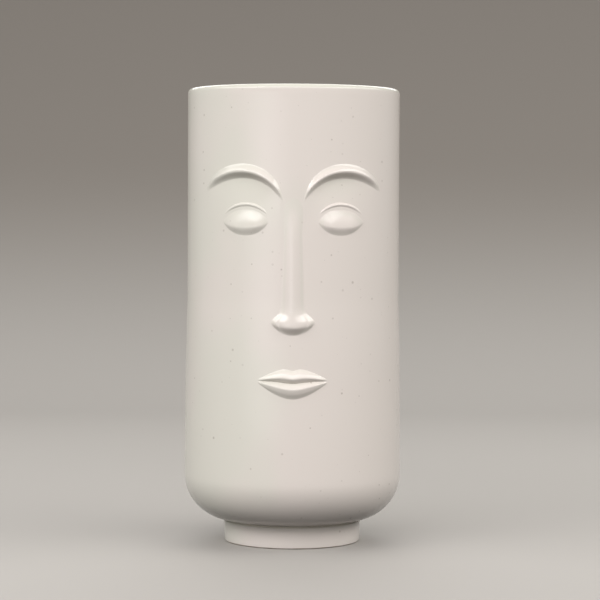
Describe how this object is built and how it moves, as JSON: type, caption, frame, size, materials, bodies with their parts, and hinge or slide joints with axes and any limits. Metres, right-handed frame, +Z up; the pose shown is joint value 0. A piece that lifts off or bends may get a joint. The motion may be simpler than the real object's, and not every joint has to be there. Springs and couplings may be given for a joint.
{
  "type": "face vase",
  "caption": "Tall near-cylindrical stoneware vase on a foot ring, off-white speckled glaze, with a calm face in low relief; holds water and cut or dried stems.",
  "frame": {"origin": "centre of the foot ring's resting face, on the vessel's axis", "axes": "+Z up along the vessel's axis, -Y out of the face, +X to the right of someone who looks at it"},
  "size_m": [0.1198, 0.1222, 0.25],
  "materials": {
    "glazed_stoneware": "off-white satin-gloss glaze with sparse fine brown-grey specks",
    "foot_stoneware": "the same glaze on the side, bare fired clay on the resting face"
  },
  "bodies": {
    "root": {"vase_body": "glazed_stoneware", "left_brow": "glazed_stoneware", "right_brow": "glazed_stoneware", "left_eyelid": "glazed_stoneware", "right_eyelid": "glazed_stoneware", "nose": "glazed_stoneware", "upper_lip": "glazed_stoneware", "lower_lip": "glazed_stoneware", "foot_ring": "foot_stoneware"}
  },
  "joints": []
}
